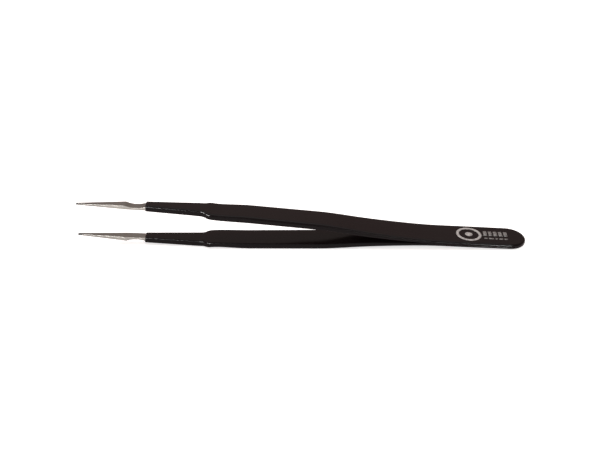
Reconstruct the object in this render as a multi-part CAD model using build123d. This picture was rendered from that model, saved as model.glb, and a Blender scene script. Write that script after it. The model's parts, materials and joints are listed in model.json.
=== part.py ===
from build123d import *
from math import atan, degrees
import os

# Precision tweezers: two stainless steel blades, spot welded together at a rounded handle, dipped
# in a black epoxy coat that stops short of the bare pointed tips.
# All sizes are in millimetres. A "way" is a distance from the tips towards the handle's end.
# A blade is drawn above the mid-plane between the two, and the other blade is its mirror image.

# Lengths, from the tips to the handle's end
overall_length = 120.0
tip_length = 13.0          # bare pointed tip, up to the step where it was ground thinner
neck_length = 5.4          # bare thinned neck behind the tip
narrow_length = 14.8       # slender coated stretch
shoulder_length = 2.4      # where the blade widens to the grip
shoulder_bend_lead = 0.6   # the broad faces start to bend this far in front of the widening
grip_rise_length = 10.4    # gently bowed start of the grip
grip_flat_length = 18.0    # straight stretch that fingers hold, and that the tool lies on
joined_length = 22.5       # coated faces closed together, up to the handle's end
flexure_lead = 7.5         # the blades flex this far in front of the joined faces
weld_lead = 5.0            # steel faces touch this far behind the start of the joined faces

# Steel blade: gap between the two inner faces
tip_gap = 8.94
shoulder_gap = 7.94
grip_front_gap = 7.44
grip_flat_gap = 6.60
grip_back_gap = 4.78
spring_front_gap = 2.58
spring_back_gap = 1.04

# Steel blade: thickness
tip_point_thickness = 0.34
tip_root_thickness = 1.06
neck_thickness = 0.54
narrow_thickness = 1.32
shoulder_thickness = 1.22
grip_thickness = 1.25
spring_front_thickness = 1.04
spring_back_thickness = 0.67
tail_front_thickness = 0.62
tail_end_thickness = 0.48

# Steel blade: width
tip_point_width = 0.56
tip_root_width = 2.60
narrow_front_width = 2.56
narrow_back_width = 4.56
grip_front_width = 6.70
grip_back_width = 7.52
spring_back_width = 8.50
handle_width = 9.10

# Coat, welds and printed mark
coat_thickness = 0.20
coat_edge_radius = 0.57
steel_edge_radius = 0.28
coat_front_overlap = 0.60  # the coat starts this far in front of the blade's full thickness
tip_root_join = 0.40       # run of the ground neck into the full blade
neck_low_share = 0.60      # the neck is thinnest at this share of its length
neck_back_share = 0.78     # thickness where the neck goes under the coat, as a share of the blade's
weld_diameter = 3.2
weld_depth = 0.24          # of each nugget, in each blade
weld_pitch = 4.5
weld_end_margin = 5.0
ink_thickness = 0.05
mark_end_margin = 4.7      # from the last bar to the handle's end
ring_diameter = 6.8
ring_line = 0.75
dot_diameter = 2.0
mark_spacing = 0.6
bar_lengths = (0.95, 0.95, 0.95, 0.95, 0.95)
bar_height = 2.3
bar_row_place = 0.8
dash_lengths = (0.8, 1.3, 0.6, 1.0, 0.9)
dash_height = 0.55
dash_row_place = -1.75
print_spacing = 0.42

# Ways to the places where the shape changes
neck_way = tip_length
coat_way = neck_way + neck_length
shoulder_way = coat_way + narrow_length
bend_way = shoulder_way - shoulder_bend_lead
grip_way = shoulder_way + shoulder_length
flat_start_way = grip_way + grip_rise_length
flat_end_way = flat_start_way + grip_flat_length
joined_way = overall_length - joined_length
flexure_way = joined_way - flexure_lead
weld_way = joined_way + weld_lead
spring_step = (joined_way - flat_end_way) / 3
spring_front_way = flat_end_way + spring_step
spring_back_way = flat_end_way + 2 * spring_step
steel_end_way = overall_length - coat_thickness
narrow_slope = (tip_gap - shoulder_gap) / 2 / shoulder_way
bend_height = shoulder_gap / 2 + narrow_slope * shoulder_bend_lead

# The lower blade's straight grip face and the underside of the handle's end share one plane
end_contact_way = overall_length - coat_edge_radius
tail_slope = (tail_front_thickness - tail_end_thickness) / joined_length
grip_back_height = grip_back_gap / 2 + grip_thickness + coat_thickness
end_height = tail_end_thickness + coat_thickness + tail_slope * coat_edge_radius
rest_slope = (grip_back_height - end_height) / (end_contact_way - flat_end_way)
rest_tilt = degrees(atan(rest_slope))

REACH = 2 * overall_length  # past the whole tool
EDGE_SHARE = 0.9            # of a wall's thickness, the most that its rounded edge may take


def x_at(way):
    """Place along the tool, with the middle of its length at zero."""
    return way - overall_length / 2


def point(way, height):
    return (x_at(way), height)


def inner_edge(skin):
    """Inner side of a blade, from the coat's front edge to the handle's end, inside a skin."""
    line_slope = (grip_flat_gap - grip_back_gap) / 2 / grip_flat_length
    front = point(coat_way, shoulder_gap / 2 + narrow_slope * narrow_length - skin)
    shoulder = point(bend_way, bend_height - skin)
    grip_front = point(grip_way, grip_front_gap / 2 - skin)
    flat_start = point(flat_start_way, grip_flat_gap / 2 - skin)
    flat_end = point(flat_end_way, grip_back_gap / 2 - skin)
    spring_front = point(spring_front_way, spring_front_gap / 2 - skin)
    spring_back = point(spring_back_way, spring_back_gap / 2 - skin)
    joined = point(weld_way, -skin)
    return [
        Line(front, shoulder),
        Spline(shoulder, grip_front, flat_start, tangents=[(1, -narrow_slope), (1, -line_slope)]),
        Line(flat_start, flat_end),
        Spline(flat_end, spring_front, spring_back, joined, tangents=[(1, -line_slope), (1, 0)]),
        Line(joined, point(overall_length, -skin)),
    ]


def outer_edge(skin):
    """Outer side of a blade over the same length, outside a skin."""
    front = point(coat_way, shoulder_gap / 2 + narrow_slope * narrow_length + narrow_thickness + skin)
    shoulder = point(bend_way, bend_height + narrow_thickness + skin)
    grip_front = point(grip_way, grip_front_gap / 2 + shoulder_thickness + skin)
    flat_end_height = grip_back_gap / 2 + grip_thickness + skin
    flat_start = point(flat_start_way, flat_end_height + rest_slope * grip_flat_length)
    flat_end = point(flat_end_way, flat_end_height)
    spring_front = point(spring_front_way, spring_front_gap / 2 + spring_front_thickness + skin)
    spring_back = point(spring_back_way, spring_back_gap / 2 + spring_back_thickness + skin)
    joined = point(joined_way, tail_front_thickness + skin)
    return [
        Line(front, shoulder),
        Spline(shoulder, grip_front, flat_start, tangents=[(1, -narrow_slope), (1, -rest_slope)]),
        Line(flat_start, flat_end),
        Spline(flat_end, spring_front, spring_back, joined,
               tangents=[(1, -rest_slope), (1, -tail_slope)]),
        Line(joined, point(overall_length, tail_end_thickness + skin)),
    ]


def side_prism(skin):
    """The blade's side profile, through the whole width."""
    inner = inner_edge(skin)
    outer = outer_edge(skin)
    front = Line(inner[0] @ 0, outer[0] @ 0)
    back = Line(inner[-1] @ 1, outer[-1] @ 1)
    face = make_face([*inner, back, *outer, front])
    return extrude(Plane.XZ * face, amount=REACH / 2, both=True)


def plan_prism(skin):
    """The blade's outline seen square to its broad face, through the whole height."""
    front = narrow_front_width / 2 + skin
    end_radius = handle_width / 2 + skin
    end_centre_way = steel_end_way + skin - end_radius
    widening = (narrow_back_width - narrow_front_width) / 2 / narrow_length
    grip_slope = (grip_back_width - grip_front_width) / 2 / (flat_end_way - grip_way)
    halves = []
    for side in (1, -1):
        def at(way, half_width):
            return (x_at(way), side * half_width)
        shoulder = at(shoulder_way, narrow_back_width / 2 + skin)
        grip_front = at(grip_way, grip_front_width / 2 + skin)
        halves += [
            Line(at(coat_way, front), shoulder),
            Spline(shoulder, grip_front,
                   tangents=[(1, side * widening), (1, side * 2 * grip_slope)]),
            Spline(grip_front, at(flat_end_way, grip_back_width / 2 + skin),
                   at(spring_back_way, spring_back_width / 2 + skin),
                   at(end_centre_way, end_radius),
                   tangents=[(1, side * 2 * grip_slope), (1, 0)]),
        ]
    halves.append(Line((x_at(coat_way), front), (x_at(coat_way), -front)))
    halves.append(ThreePointArc((x_at(end_centre_way), end_radius),
                                (x_at(end_centre_way + end_radius), 0),
                                (x_at(end_centre_way), -end_radius)))
    return extrude(make_face(halves), amount=REACH / 2, both=True)


def outer_rim(blade):
    """Edges round the outer broad face, apart from the one across its front."""
    seen = []
    rim = []
    for face in blade.faces():
        if face.normal_at().Z > 0.5:
            seen.extend(face.edges())
    for edge in seen:
        shared = sum(edge.is_same(other) for other in seen) > 1
        if not shared and edge.bounding_box().size.X > 0.1:
            rim.append(edge)
    return rim


def blade_form(skin, edge_radius):
    """Blade from the coat's front edge to the handle's end, grown by a skin, with rounded outer edges."""
    form = side_prism(skin) & plan_prism(skin)
    thinnest_wall = tail_end_thickness + skin
    return fillet(outer_rim(form), min(edge_radius, EDGE_SHARE * thinnest_wall))


def slab(start_way, end_way):
    """Everything between two ways."""
    return Pos(x_at((start_way + end_way) / 2), 0, 0) * Box(end_way - start_way, REACH, REACH)


def tip_form():
    """Bare tip and thinned neck, ground from the front of a blade, running in under the coat."""
    back_way = coat_way + coat_front_overlap + tip_root_join
    neck_middle_way = neck_way + neck_low_share * neck_length
    under_coat_thickness = neck_back_share * narrow_thickness

    def inner(way):
        return tip_gap / 2 - narrow_slope * way

    corners = [
        point(0, inner(0)),
        point(back_way, inner(back_way)),
        point(back_way, inner(back_way) + under_coat_thickness),
        point(coat_way, inner(coat_way) + under_coat_thickness),
    ]
    neck = point(neck_middle_way, inner(neck_middle_way) + neck_thickness)
    root = point(neck_way, inner(neck_way) + tip_root_thickness)
    tip = point(0, inner(0) + tip_point_thickness)
    side = [Polyline(*corners), Spline(corners[-1], neck, root), Polyline(root, tip, corners[0])]
    half = [
        (0, tip_point_width / 2),
        (neck_way, tip_root_width / 2),
        (coat_way, narrow_front_width / 2),
        (back_way, narrow_front_width / 2),
    ]
    plan = [(x_at(way), width) for way, width in half]
    plan += [(x_at(way), -width) for way, width in reversed(half)]
    side_solid = extrude(Plane.XZ * make_face(side), amount=REACH / 2, both=True)
    return side_solid & extrude(make_face(Polyline(*plan, close=True)), amount=REACH / 2, both=True)


def whole_blade():
    """Upper blade in one piece, from its tip to the handle's end."""
    body = blade_form(0, steel_edge_radius) & slab(coat_way + coat_front_overlap, REACH)
    return body + tip_form()


def weld_ways():
    """As many spot welds as the joined steel has room for."""
    first = weld_way + weld_diameter
    last = overall_length - weld_end_margin
    count = 1 + max(0, int((last - first) / weld_pitch))
    return [first + weld_pitch * i for i in range(count)]


def weld_nuggets():
    """Spot welds that fuse the two tails, one lens of steel at each place."""
    nugget = chamfer(Cylinder(weld_diameter / 2, 2 * weld_depth).edges(), weld_depth / 2)
    return [Pos(x_at(way), 0, 0) * nugget for way in weld_ways()]


def coat_envelope():
    """Outer form of the coat on the upper blade, down to the mid-plane."""
    above = Pos(0, 0, REACH / 2) * Box(REACH, REACH, REACH)
    return blade_form(coat_thickness, coat_edge_radius) & above


def row_length(lengths):
    return sum(lengths) + print_spacing * (len(lengths) - 1)


def print_row(lengths, height, start, side_place):
    row = []
    for length in lengths:
        row.append(Pos(start + length / 2, side_place) * Rectangle(length, height))
        start += length + print_spacing
    return row


def mark_shapes():
    """Plain printed mark, placed from the handle's end: a ringed dot, a row of bars, a row of dashes."""
    row_start = -mark_end_margin - row_length(bar_lengths)
    ring_place = Pos(row_start - mark_spacing - ring_diameter / 2, 0)
    ring = Circle(ring_diameter / 2) - Circle(ring_diameter / 2 - ring_line)
    shapes = [ring_place * ring, ring_place * Circle(dot_diameter / 2)]
    shapes += print_row(bar_lengths, bar_height, row_start, bar_row_place)
    shapes += print_row(dash_lengths, dash_height, row_start, dash_row_place)
    return shapes


def printed_mark():
    """Thin ink on the handle's upper face."""
    corner = (x_at(overall_length), 0, tail_end_thickness + coat_thickness)
    face = Plane(origin=corner, x_dir=(1, 0, -tail_slope), z_dir=(tail_slope, 0, 1))
    return [extrude(face * shape, amount=ink_thickness) for shape in mark_shapes()]


def lower(shape):
    """The same piece on the other blade."""
    return mirror(shape, about=Plane.XY)


def build_nodes():
    blade = whole_blade()
    envelope = coat_envelope()
    nuggets = weld_nuggets()
    arms = slab(-overall_length, flexure_way)
    handle = slab(flexure_way, REACH)
    arm = blade & arms
    tail = (blade & handle) - nuggets
    arm_coat = (envelope & arms) - arm
    handle_coat = (envelope + lower(envelope)) & handle
    handle_coat = handle_coat - [tail, lower(tail), *nuggets]
    return {
        "upper_arm": arm,
        "lower_arm": lower(arm),
        "upper_tail": tail,
        "lower_tail": lower(tail),
        "spot_welds": Compound(nuggets),
        "upper_arm_coat": arm_coat,
        "lower_arm_coat": lower(arm_coat),
        "handle_coat": handle_coat,
        "printed_mark": Compound(printed_mark()),
    }


def standing(nodes):
    """Tip the tool about its width until it lies on the lower grip face, centred over the origin."""
    tilted = {name: Rot(0, rest_tilt, 0) * shape for name, shape in nodes.items()}
    boxes = [shape.bounding_box() for shape in tilted.values()]
    middle = (min(box.min.X for box in boxes) + max(box.max.X for box in boxes)) / 2
    lowest = min(box.min.Z for box in boxes)
    return {name: Pos(-middle, 0, -lowest) * shape for name, shape in tilted.items()}


os.makedirs("parts", exist_ok=True)
for node_name, node_shape in standing(build_nodes()).items():
    export_step(node_shape, f"parts/{node_name}.step")
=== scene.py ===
import json
import math

import bmesh
import bpy
from mathutils import Matrix, Vector, noise
from mathutils.bvhtree import BVHTree


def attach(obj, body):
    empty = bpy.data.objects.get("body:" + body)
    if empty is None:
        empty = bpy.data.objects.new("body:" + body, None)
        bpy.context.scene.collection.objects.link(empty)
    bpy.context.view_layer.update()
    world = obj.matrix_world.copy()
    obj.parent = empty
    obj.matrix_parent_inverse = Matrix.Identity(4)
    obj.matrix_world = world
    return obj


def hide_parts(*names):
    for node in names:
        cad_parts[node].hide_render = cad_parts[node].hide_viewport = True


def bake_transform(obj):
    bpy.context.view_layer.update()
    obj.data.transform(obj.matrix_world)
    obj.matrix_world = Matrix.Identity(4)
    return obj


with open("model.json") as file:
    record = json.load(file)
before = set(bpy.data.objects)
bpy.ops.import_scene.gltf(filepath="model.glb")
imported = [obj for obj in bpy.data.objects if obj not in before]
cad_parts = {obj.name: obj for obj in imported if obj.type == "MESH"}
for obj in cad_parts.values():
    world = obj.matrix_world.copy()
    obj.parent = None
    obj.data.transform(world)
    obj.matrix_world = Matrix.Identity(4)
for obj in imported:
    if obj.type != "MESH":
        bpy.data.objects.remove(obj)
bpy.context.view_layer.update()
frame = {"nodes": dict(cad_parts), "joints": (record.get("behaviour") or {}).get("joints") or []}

# Lengths are in millimetres on the tool itself: a "way" runs from the tips to the handle's end,
# "side" runs across the blades, and "height" goes up from the mid-plane between the two blades.
# The upper blade is built, and the lower one is its mirror image in that plane.
MM = 0.001
HINGE_WAY = 90.0
FLEX_FRONT_WAY = 82.5  # the blades bend between these two ways
FLEX_BACK_WAY = 97.5   # coated faces are closed together from here on
TILT = 3.2592          # degrees that the tool dips towards its handle as it lies on the lower grip
COAT_WAY = 18.4        # front edge of the coat
SHOULDER_WAY = 33.2    # the slender stretch starts to widen here
END_CENTRE_WAY = 115.25
STEEL_END_RADIUS = 4.55
COAT = 0.2
COAT_END_RADIUS = STEEL_END_RADIUS + COAT
CROWN = 0.12           # how far the coat bows out on the face that meets the other blade
DIP_DIFFERENCE = 0.35  # the lower blade went this much deeper into the coat
DIP_WAVE = 0.09        # how uneven the coat's front edge is
DIP_WAVE_REACH = 2.0   # the unevenness dies away over this length

PIVOT = Vector(frame["joints"][0]["pos_m"])
TOOL = (
    Matrix.Translation(PIVOT)
    @ Matrix.Rotation(math.radians(TILT), 4, "Y")
    @ Matrix.Scale(MM, 4)
    @ Matrix.Translation((-HINGE_WAY, 0, 0))
)


# ---------------------------------------------------------------- blade profile, read off the frame

def node_tree(*names):
    """CAD nodes as one search tree, in the tool's own millimetres."""
    form = bmesh.new()
    for name in names:
        form.from_mesh(frame["nodes"][name].data)
    form.transform(TOOL.inverted())
    tree = BVHTree.FromBMesh(form)
    form.free()
    return tree


def smooth_curve(ways, values):
    """Curve through measured places that never overshoots between them."""
    steps = [b - a for a, b in zip(ways, ways[1:])]
    rises = [(b - a) / step for a, b, step in zip(values, values[1:], steps)]
    slopes = [rises[0]]
    for before, after in zip(rises, rises[1:]):
        same_way = before * after > 0
        slopes.append(2 * before * after / (before + after) if same_way else 0.0)
    slopes.append(rises[-1])

    def value_at(way):
        if way >= ways[-1]:
            return values[-1] + slopes[-1] * (way - ways[-1])
        way = max(way, ways[0])
        index = max(i for i in range(len(steps)) if ways[i] <= way)
        step = steps[index]
        t = (way - ways[index]) / step
        return (
            values[index] * (1 + 2 * t) * (1 - t) ** 2
            + slopes[index] * step * t * (1 - t) ** 2
            + values[index + 1] * t * t * (3 - 2 * t)
            + slopes[index + 1] * step * t * t * (t - 1)
        )

    return value_at


def measure(reading, ways):
    return smooth_curve(ways, [reading(way) for way in ways])


def cast(tree, start, direction):
    return tree.ray_cast(Vector(start), Vector(direction))[0]


def probe_side(way):
    """Off the centre line, and clear of the weld pockets where the blade is wide."""
    return 2.1 if way > SHOULDER_WAY + 2 else 0.03


def outer_height(tree):
    return lambda way: cast(tree, (way, probe_side(way), 20), (0, 0, -1)).z


def inner_height(tree):
    return lambda way: cast(tree, (way, probe_side(way), -0.01), (0, 0, 1)).z


def half_width(tree, height_at):
    return lambda way: cast(tree, (way, 20, height_at(way)), (0, -1, 0)).y


steel_tree = node_tree("upper_arm", "upper_tail")
coat_tree = node_tree("upper_arm_coat", "handle_coat")

TIP_WAYS = [0.02, 4, 8.5, 12.6, 13, 13.4, 14.2, 15.2, 16.2, 17.4, 18.1]
BACK_WAYS = [26, 32.6, 33.2, 33.6, 34, 34.4, 34.8, 35.2, 35.6, 37, 39, 42, 44, 46, 48, 55, 62]
BACK_WAYS += [64, 65.5, 67, 71, 75.2, 80, 86.3, 91, 94, 97.5, 103, 109, 115]
STEEL_WAYS = TIP_WAYS + [19.2] + BACK_WAYS
COAT_WAYS = [COAT_WAY + 0.02] + BACK_WAYS

steel_inner = measure(inner_height(steel_tree), STEEL_WAYS)
steel_outer = measure(outer_height(steel_tree), STEEL_WAYS)
steel_half = measure(half_width(steel_tree, lambda way: steel_inner(way) + 0.05), STEEL_WAYS)
coat_outer = measure(outer_height(coat_tree), COAT_WAYS)
coat_half = measure(half_width(coat_tree, lambda way: steel_inner(way) + 0.1), COAT_WAYS)


def coat_inner(way):
    return max(0.0, steel_inner(way) - COAT)


# ---------------------------------------------------------------- blades

SLAB = 1.6             # a blade is worked as a flat slab this thick, then drawn to its profile
COAT_ROUND = 0.6       # the coat flows into a full round on its outer edges
COAT_INNER_ROUND = 0.2
COAT_FRONT_ROUND = 0.17
STEEL_ROUND = 0.06     # ground steel keeps crisp edges
STEEL_INNER_ROUND = 0.05
STEEL_FRONT_ROUND = 0.04
HIDDEN_EXTRA_ROUND = 3.5  # share added to the steel's outer edges where the coat hides them
GRIP_EXTRA_ROUND = 0.27  # share added to the coat's outer edges along the grip
GRIP_ROUND_START = 33.5
GRIP_ROUND_RISE = 3.5
GRIP_ROUND_FADE = 14
GRIP_ROUND_END = 80


def side_edges(form, height):
    """Edges round a broad face of the slab, apart from the one across its front."""
    front = min(vert.co.x for vert in form.verts)
    found = []
    for edge in form.edges:
        flat = all(abs(vert.co.z - height) < 1e-5 for vert in edge.verts)
        upright = sum(abs(face.normal.z) < 0.5 for face in edge.link_faces)
        across_front = all(vert.co.x < front + 1e-5 for vert in edge.verts)
        if flat and upright == 1 and not across_front:
            found.append(edge)
    return found


def round_off(form, edges, radius, segments):
    bmesh.ops.bevel(
        form, geom=edges, offset=radius, offset_type="OFFSET", segments=segments,
        profile=0.5, affect="EDGES", clamp_overlap=False, material=-1,
    )


def plain_slab(ways, half, end_radius):
    """Flat slab with the blade's outline: a round end drawn out forwards, station by station."""
    form = bmesh.new()
    bmesh.ops.create_circle(
        form, cap_ends=True, segments=96, radius=end_radius,
        matrix=Matrix.Translation((END_CENTRE_WAY, 0, 0)),
    )
    bmesh.ops.bisect_plane(
        form, geom=form.verts[:] + form.edges[:] + form.faces[:], dist=1e-4,
        plane_co=(END_CENTRE_WAY, 0, 0), plane_no=(-1, 0, 0), clear_outer=True,
    )
    across = [e for e in form.edges if all(abs(v.co.x - END_CENTRE_WAY) < 1e-3 for v in e.verts)]
    for way in reversed(ways):
        drawn = bmesh.ops.extrude_edge_only(form, edges=across)["geom"]
        across = [item for item in drawn if isinstance(item, bmesh.types.BMEdge)]
        for vert in (item for item in drawn if isinstance(item, bmesh.types.BMVert)):
            vert.co = (way, math.copysign(half(way), vert.co.y), 0)
    raised = bmesh.ops.extrude_face_region(form, geom=form.faces[:], use_keep_orig=True)["geom"]
    top = [item for item in raised if isinstance(item, bmesh.types.BMVert)]
    bmesh.ops.translate(form, verts=top, vec=(0, 0, SLAB))
    bmesh.ops.recalc_face_normals(form, faces=form.faces[:])
    return form


def rounded_slab(ways, half, end_radius, outer_round, inner_round, front_round):
    form = plain_slab(ways, half, end_radius)
    round_off(form, side_edges(form, SLAB), outer_round, 6)
    round_off(form, side_edges(form, 0.0), inner_round, 3)
    front = min(vert.co.x for vert in form.verts)
    face = max((f for f in form.faces if f.normal.x < -0.9), key=lambda f: f.calc_area())
    round_off(form, face.edges[:], front_round, 4)
    for direction in (1, -1):
        broad = [f for f in form.faces if f.normal.z * direction > 0.9999]
        bmesh.ops.inset_region(form, faces=broad, thickness=front_round * 0.5, use_even_offset=True)
    inner = [e for e in form.edges if any(f.normal.z < -0.9999 for f in e.link_faces)]
    across = [e for e in inner if abs(e.verts[0].co.x - e.verts[1].co.x) < 1e-4]
    wide = [e for e in across if e.calc_length() > 0.2]
    bmesh.ops.subdivide_edges(form, edges=wide, cuts=7, use_grid_fill=True)
    wall = [f for f in form.faces if abs(f.normal.z) < 1e-3 and f.calc_center_median().x > front + 0.01]
    bmesh.ops.inset_region(form, faces=wall, thickness=front_round * 0.3, use_even_offset=True)
    return form


def softening(way):
    """How much rounder the coat's outer edges are along the grip."""
    rising = min(1.0, max(0.0, (way - GRIP_ROUND_START) / GRIP_ROUND_RISE))
    falling = min(1.0, max(0.0, (GRIP_ROUND_END - way) / GRIP_ROUND_FADE))
    return 1 + GRIP_EXTRA_ROUND * rising * falling


def under_coat(way):
    """How much rounder the blade's outer edges are where the coat covers them."""
    hidden = min(1.0, max(0.0, way - COAT_WAY - COAT_ROUND), max(0.0, END_CENTRE_WAY - way))
    return 1 + HIDDEN_EXTRA_ROUND * hidden


def soften_edges(form, half, outer_round, soften):
    """Widen the rounding of the outer edges by the given measure at each way."""
    for vert in form.verts:
        inset = half(vert.co.x) - abs(vert.co.y)
        if vert.co.z >= SLAB - outer_round and vert.co.x < END_CENTRE_WAY and inset < outer_round * 2:
            moved = half(vert.co.x) - inset * soften(vert.co.x)
            vert.co.y = math.copysign(moved, vert.co.y)


def draw_to_profile(form, inner, outer, outer_round, inner_round, soften):
    """Set the slab's heights to the blade's profile, keeping its rounded edges their own size."""
    for vert in form.verts:
        way = vert.co.x
        low = inner(way)
        thickness = outer(way) - low
        rim = outer_round * soften(way)
        keep = min(1.0, 0.97 * thickness / (rim + inner_round))
        top_start = SLAB - outer_round
        if vert.co.z >= top_start:
            height = thickness - (SLAB - vert.co.z) * keep * soften(way)
        elif vert.co.z <= inner_round:
            height = vert.co.z * keep
        else:
            share = (vert.co.z - inner_round) / (top_start - inner_round)
            start = inner_round * keep
            height = start + share * (thickness - rim * keep - start)
        vert.co.z = low + height


def set_dip_line(form, reach):
    """Each blade is dipped a little differently, and the coat's front edge is not quite straight."""
    for vert in form.verts:
        nearness = max(0.0, 1 - (vert.co.x - COAT_WAY) / DIP_WAVE_REACH)
        wave = DIP_WAVE * noise.noise(Vector((3, vert.co.y * 1.1, vert.co.z * 1.1)))
        vert.co.x -= nearness * (reach + wave)


def crown_inner_face(form, half):
    """The coat has drawn up slightly thicker along the middle of the face that meets the other blade."""
    for vert in form.verts:
        bowing = min(1.0, max(0.0, (FLEX_BACK_WAY - vert.co.x) / (FLEX_BACK_WAY - FLEX_FRONT_WAY)))
        if abs(vert.co.z) < 1e-4:
            across = max(0.0, 1 - (vert.co.y / half(vert.co.x)) ** 2)
            vert.co.z -= CROWN * bowing * (half(vert.co.x) / 4) * across


def close_seam(form, inner_round):
    """Behind the hinge the two coats have run together, so the rounding between them dies away."""
    for vert in form.verts:
        closing = min(1.0, max(0.0, (vert.co.x - FLEX_FRONT_WAY) / (FLEX_BACK_WAY - FLEX_FRONT_WAY)))
        if vert.co.z < inner_round:
            vert.co.z *= 1 - 0.85 * closing


def steel_blade():
    ways = [0.0, 0.25] + [0.5 * i for i in range(1, 25)]
    ways += [12.5, 12.8, 13.0, 13.2, 13.5] + [13.8 + 0.3 * i for i in range(20)]
    ways += [20.0 + 1.0 * i for i in range(96)]
    form = rounded_slab(
        ways, steel_half, STEEL_END_RADIUS, STEEL_ROUND, STEEL_INNER_ROUND, STEEL_FRONT_ROUND,
    )
    soften_edges(form, steel_half, STEEL_ROUND, under_coat)
    draw_to_profile(form, steel_inner, steel_outer, STEEL_ROUND, STEEL_INNER_ROUND, under_coat)
    return form


def coat_half_shell(dip_reach):
    ways = [COAT_WAY, COAT_WAY + 0.3, COAT_WAY + 0.6] + [19.5 + 0.5 * i for i in range(192)]
    form = rounded_slab(
        ways, coat_half, COAT_END_RADIUS, COAT_ROUND, COAT_INNER_ROUND, COAT_FRONT_ROUND,
    )
    crown_inner_face(form, coat_half)
    close_seam(form, COAT_INNER_ROUND)
    soften_edges(form, coat_half, COAT_ROUND, softening)
    draw_to_profile(form, coat_inner, coat_outer, COAT_ROUND, COAT_INNER_ROUND, softening)
    set_dip_line(form, dip_reach)
    return form


def piece(name, form, material):
    form.transform(TOOL)
    bmesh.ops.recalc_face_normals(form, faces=form.faces[:])
    for face in form.faces:
        face.smooth = True
    mesh = bpy.data.meshes.new(name)
    form.to_mesh(mesh)
    form.free()
    mesh.materials.append(material)
    made = bpy.data.objects.new(name, mesh)
    bpy.context.scene.collection.objects.link(made)
    return made


def below(form):
    """The same form on the other side of the mid-plane."""
    bmesh.ops.scale(form, vec=(1, 1, -1), verts=form.verts[:])
    return form


# ---------------------------------------------------------------- printed mark

INK = 0.05
RING_WAY = 104.75
RING_RADIUS = 3.4
RING_LINE = 0.75
DOT_RADIUS = 1.0
ROW_WAY = 108.75
BARS = (0.95, 0.95, 0.95, 0.95, 0.95)
BAR_HEIGHT = 2.3
BAR_SIDE = 0.8
DASHES = (0.8, 1.3, 0.6, 1.0, 0.9)
DASH_HEIGHT = 0.55
DASH_SIDE = -1.75
PRINT_SPACING = 0.42


def thicken(form, faces):
    raised = bmesh.ops.extrude_face_region(form, geom=faces, use_keep_orig=True)["geom"]
    top = [item for item in raised if isinstance(item, bmesh.types.BMVert)]
    bmesh.ops.translate(form, verts=top, vec=(0, 0, INK))


def add_disc(form, radius):
    made = bmesh.ops.create_circle(
        form, cap_ends=True, segments=72, radius=radius, matrix=Matrix.Translation((RING_WAY, 0, 0)),
    )
    return made["verts"][0].link_faces[0]


def add_row(form, lengths, height, side):
    way = ROW_WAY
    for length in lengths:
        place = Matrix.Translation((way + length / 2, side, INK / 2))
        bmesh.ops.create_cube(form, size=1, matrix=place @ Matrix.Diagonal((length, height, INK, 1)))
        way += length + PRINT_SPACING


def ink_mark():
    """Plain mark: a ringed dot, a row of bars and a row of fine dashes."""
    form = bmesh.new()
    disc = add_disc(form, RING_RADIUS)
    ring = bmesh.ops.inset_region(form, faces=[disc], thickness=RING_LINE, use_boundary=True)["faces"]
    bmesh.ops.delete(form, geom=[disc], context="FACES_ONLY")
    thicken(form, ring)
    thicken(form, [add_disc(form, DOT_RADIUS)])
    add_row(form, BARS, BAR_HEIGHT, BAR_SIDE)
    add_row(form, DASHES, DASH_HEIGHT, DASH_SIDE)
    for vert in form.verts:
        vert.co.z += coat_outer(vert.co.x)
    return form


# ---------------------------------------------------------------- finishes

def linear(code):
    """Colour from its hex code."""
    parts = [int(code[i:i + 2], 16) / 255 for i in (1, 3, 5)]
    return [p / 12.92 if p <= 0.04045 else ((p + 0.055) / 1.055) ** 2.4 for p in parts] + [1.0]


def finish_named(name):
    material = bpy.data.materials.new(name)
    material.use_nodes = True
    return material, material.node_tree, material.node_tree.nodes["Principled BSDF"]


def add(tree, kind, links=(), **values):
    """Node of one kind, with its settings and its incoming links."""
    node = tree.nodes.new(kind)
    for key, value in values.items():
        if hasattr(node, key):
            setattr(node, key, value)
        else:
            node.inputs[key.replace("_", " ")].default_value = value
    for socket, source in dict(links).items():
        tree.links.new(source, node.inputs[socket])
    return node


def on_tool(tree, stretch):
    """Place on the piece in millimetres, drawn out along the tool by a stretch."""
    place = add(tree, "ShaderNodeTexCoord")
    return add(
        tree, "ShaderNodeMapping", {"Vector": place.outputs["Object"]},
        Scale=(1000 / stretch, 1000, 1000),
    ).outputs["Vector"]


def ramp(tree, source, low, high, low_value, high_value):
    """A pattern's range turned into another range of values."""
    node = add(tree, "ShaderNodeMapRange", {"Value": source})
    limits = {"From Min": low, "From Max": high, "To Min": low_value, "To Max": high_value}
    for socket, value in limits.items():
        node.inputs[socket].default_value = value
    return node.outputs["Result"]


def tint(tree, share, dark, light):
    node = add(tree, "ShaderNodeMix", {"Factor": share}, data_type="RGBA")
    node.inputs["A"].default_value = linear(dark)
    node.inputs["B"].default_value = linear(light)
    return node.outputs["Result"]


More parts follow.
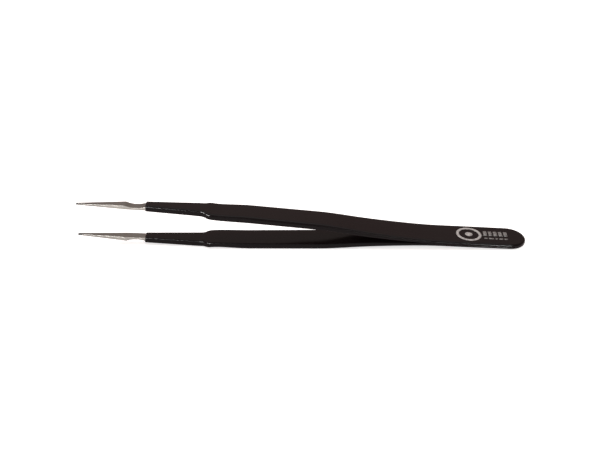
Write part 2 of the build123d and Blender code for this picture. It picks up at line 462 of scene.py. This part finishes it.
def ground_steel(name, dark, light, roughness):
    """Stainless steel belt ground across its width: warm grey, with a soft and faintly lined sheen."""
    material, tree, shader = finish_named(name)
    across = on_tool(tree, 0.05)
    lines = add(tree, "ShaderNodeTexNoise", {"Vector": across}, Scale=0.8, Detail=3.0, Roughness=0.6)
    cloud = add(tree, "ShaderNodeTexNoise", {"Vector": on_tool(tree, 1)}, Scale=0.35, Detail=4.0)
    steel_tone = tint(tree, cloud.outputs["Fac"], dark, light)
    along = add(tree, "ShaderNodeSeparateXYZ", {"Vector": on_tool(tree, 1)}).outputs["X"]
    point = (TOOL @ Vector((0, 0, 0))).x / MM
    # Colour ramp, darker towards the point: almost black over the last 2 mm, with a lighter darkening
    # that fades out 11 mm back from the point.
    end = ramp(tree, along, point + 0.3, point + 2.2, 0.95, 0.0)
    taper = ramp(tree, along, point + 2.0, point + 11.0, 0.35, 0.0)
    darkened = add(tree, "ShaderNodeMath", {0: end, 1: taper}, operation="MAXIMUM").outputs["Value"]
    graded_along_tool = add(tree, "ShaderNodeMix", {"Factor": darkened}, data_type="RGBA")
    tree.links.new(steel_tone, graded_along_tool.inputs["A"])
    graded_along_tool.inputs["B"].default_value = linear("#232324")
    tree.links.new(graded_along_tool.outputs["Result"], shader.inputs["Base Color"])
    rough = ramp(tree, lines.outputs["Fac"], 0.3, 0.7, roughness - 0.06, roughness + 0.08)
    tree.links.new(rough, shader.inputs["Roughness"])
    relief = add(
        tree, "ShaderNodeBump", {"Height": lines.outputs["Fac"]}, Strength=0.25, Distance=0.00001,
    )
    tree.links.new(relief.outputs["Normal"], shader.inputs["Normal"])
    shader.inputs["Metallic"].default_value = 1.0
    return material


def baked_epoxy():
    """Dipped black epoxy: a deep warm black with a faint orange peel that softens its sheen."""
    material, tree, shader = finish_named("baked black epoxy coat")
    place = on_tool(tree, 1)
    peel = add(tree, "ShaderNodeTexNoise", {"Vector": place}, Scale=1.3, Detail=2.0)
    drift = add(tree, "ShaderNodeTexNoise", {"Vector": place}, Scale=0.12, Detail=3.0)
    tree.links.new(tint(tree, drift.outputs["Fac"], "#080506", "#0c0809"), shader.inputs["Base Color"])
    rough = ramp(tree, drift.outputs["Fac"], 0.3, 0.7, 0.16, 0.22)
    tree.links.new(rough, shader.inputs["Roughness"])
    relief = add(
        tree, "ShaderNodeBump", {"Height": peel.outputs["Fac"]}, Strength=0.15, Distance=0.00003,
    )
    tree.links.new(relief.outputs["Normal"], shader.inputs["Normal"])
    shader.inputs["Specular IOR Level"].default_value = 0.05
    shader.inputs["Coat Weight"].default_value = 0.06
    shader.inputs["Coat Roughness"].default_value = 0.1
    shader.inputs["Sheen Weight"].default_value = 0.055
    shader.inputs["Sheen Roughness"].default_value = 0.5
    shader.inputs["Sheen Tint"].default_value = linear("#ffc8ca")
    return material


def pad_print_ink():
    """White pad-print ink on black: thin enough that the coat greys it in patches."""
    material, tree, shader = finish_named("white pad print ink")
    patches = add(
        tree, "ShaderNodeTexNoise", {"Vector": on_tool(tree, 1)}, Scale=1.6, Detail=4.0, Roughness=0.7,
    )
    cover = ramp(tree, patches.outputs["Fac"], 0.36, 0.6, 0.0, 1.0)
    ring = tint(tree, cover, "#838181", "#bdbcbb")
    rows = tint(tree, cover, "#454343", "#8a8887")
    along = add(tree, "ShaderNodeSeparateXYZ", {"Vector": on_tool(tree, 1)}).outputs["X"]
    row_start = (TOOL @ Vector((ROW_WAY, 0, 0))).x / MM
    thin = ramp(tree, along, row_start - 0.3, row_start, 0.0, 1.0)
    graded_along_tool = add(tree, "ShaderNodeMix", {"Factor": thin}, data_type="RGBA")
    tree.links.new(ring, graded_along_tool.inputs["A"])
    tree.links.new(rows, graded_along_tool.inputs["B"])
    tree.links.new(graded_along_tool.outputs["Result"], shader.inputs["Base Color"])
    shader.inputs["Roughness"].default_value = 0.55
    return material


steel = ground_steel("ground stainless blade", "#6c6965", "#7c7975", 0.36)
weld = ground_steel("fused spot weld", "#77716c", "#8b8580", 0.5)
epoxy = baked_epoxy()
ink = pad_print_ink()

upper_blade = piece("upper_blade", steel_blade(), steel)
lower_blade = piece("lower_blade", below(steel_blade()), steel)
upper_coat = piece("upper_coat", coat_half_shell(0.0), epoxy)
lower_coat = piece("lower_coat", below(coat_half_shell(DIP_DIFFERENCE)), epoxy)
mark = piece("printed_mark_ink", ink_mark(), ink)

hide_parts("upper_arm", "upper_tail")
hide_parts("lower_arm", "lower_tail")
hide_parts("upper_arm_coat", "handle_coat")
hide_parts("lower_arm_coat", "handle_coat")
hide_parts("printed_mark")

# The real blades bend over their springy roots, between the handle's body and their own arms; here each
# blade piece only has its placing baked into its mesh, and the arm named beside it is not used
for blade_piece, arm in (
    (upper_blade, "upper_arm"), (upper_coat, "upper_arm"),
    (lower_blade, "lower_arm"), (lower_coat, "lower_arm"),
):
    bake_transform(blade_piece)
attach(mark, "handle")
for node in frame["nodes"].values():
    for slot in node.material_slots:
        slot.material = {"weld": weld, "coat": epoxy, "ink": ink}.get(slot.name, steel)


# ---------------------------------------------------------------- studio

def pale_floor():
    """Lit white table under and round the tool."""
    form = bmesh.new()
    bmesh.ops.create_grid(form, x_segments=1, y_segments=1, size=3.0)
    material, tree, shader = finish_named("lit white table")
    shader.inputs["Base Color"].default_value = linear("#f4f4f4")
    shader.inputs["Roughness"].default_value = 0.9
    shader.inputs["Specular IOR Level"].default_value = 0
    shader.inputs["Emission Color"].default_value = linear("#ffffff")
    shader.inputs["Emission Strength"].default_value = 0.72
    mesh = bpy.data.meshes.new("table")
    form.to_mesh(mesh)
    form.free()
    mesh.materials.append(material)
    table = bpy.data.objects.new("table", mesh)
    bpy.context.scene.collection.objects.link(table)


def soft_light(name, place, width, power, aim=(0, 0, 0), sheen_only=False):
    """Square softbox. A sheen-only one is seen mirrored in glossy finishes, and lights nothing else."""
    lamp = bpy.data.lights.new(name, "AREA")
    lamp.shape = "SQUARE"
    lamp.size = width
    lamp.energy = power
    made = bpy.data.objects.new(name, lamp)
    made.location = place
    made.rotation_euler = (Vector(aim) - Vector(place)).to_track_quat("-Z", "Y").to_euler()
    made.visible_diffuse = not sheen_only
    bpy.context.scene.collection.objects.link(made)


def room():
    """Dim warm room above the table, brighter overhead, with a reddish curtain straight behind."""
    world = bpy.data.worlds.new("studio room")
    world.use_nodes = True
    tree = world.node_tree
    place = add(tree, "ShaderNodeTexCoord")
    parts = add(tree, "ShaderNodeSeparateXYZ", {"Vector": place.outputs["Generated"]})
    wall = tint(tree, ramp(tree, parts.outputs["Z"], 0.38, 0.62, 0.0, 1.0), "#867873", "#d0c2bc")
    aside = add(tree, "ShaderNodeMath", {0: parts.outputs["X"]}, operation="ADD")
    aside.inputs[1].default_value = 0.04
    away = add(tree, "ShaderNodeMath", {0: aside.outputs["Value"]}, operation="ABSOLUTE")
    near = ramp(tree, away.outputs["Value"], 0.2, 0.5, 0.8, 0.0)
    curtain = tint(tree, ramp(tree, parts.outputs["Z"], 0.38, 0.62, 0.0, 1.0), "#b8a39e", "#fff0ea")
    both = add(tree, "ShaderNodeMix", {"Factor": near}, data_type="RGBA")
    tree.links.new(wall, both.inputs["A"])
    tree.links.new(curtain, both.inputs["B"])
    tree.links.new(both.outputs["Result"], tree.nodes["Background"].inputs["Color"])
    bpy.context.scene.world = world


def photographer():
    """Camera a little above the table, looking across the length of the tool."""
    lens = bpy.data.cameras.new("camera")
    lens.lens = 59.0
    lens.clip_start = 0.01
    eye = bpy.data.objects.new("camera", lens)
    forward = Vector((-0.00765, 0.86782, -0.49683)).normalized()
    right = Vector((0.99996, 0.00468, -0.00722)).normalized()
    up = right.cross(forward).normalized()
    turn = Matrix((right, up, -forward)).transposed().to_4x4()
    eye.matrix_world = Matrix.Translation((0.001601, -0.227984, 0.135863)) @ turn
    bpy.context.scene.collection.objects.link(eye)
    bpy.context.scene.camera = eye


pale_floor()
soft_light("overhead softbox", (0, 0.05, 0.7), 0.6, 2.2)
soft_light("left softbox", (-0.376, -0.33, 0.135), 0.11, 10, aim=(-0.026, 0, 0.01), sheen_only=True)
soft_light("front left softbox", (-0.214, -0.44, 0.15), 0.11, 8, aim=(-0.024, 0, 0.01), sheen_only=True)
soft_light("front right softbox", (0.2, -0.44, 0.17), 0.1, 3, aim=(0.055, 0, 0), sheen_only=True)
room()
photographer()
bpy.context.scene.view_settings.view_transform = "Standard"
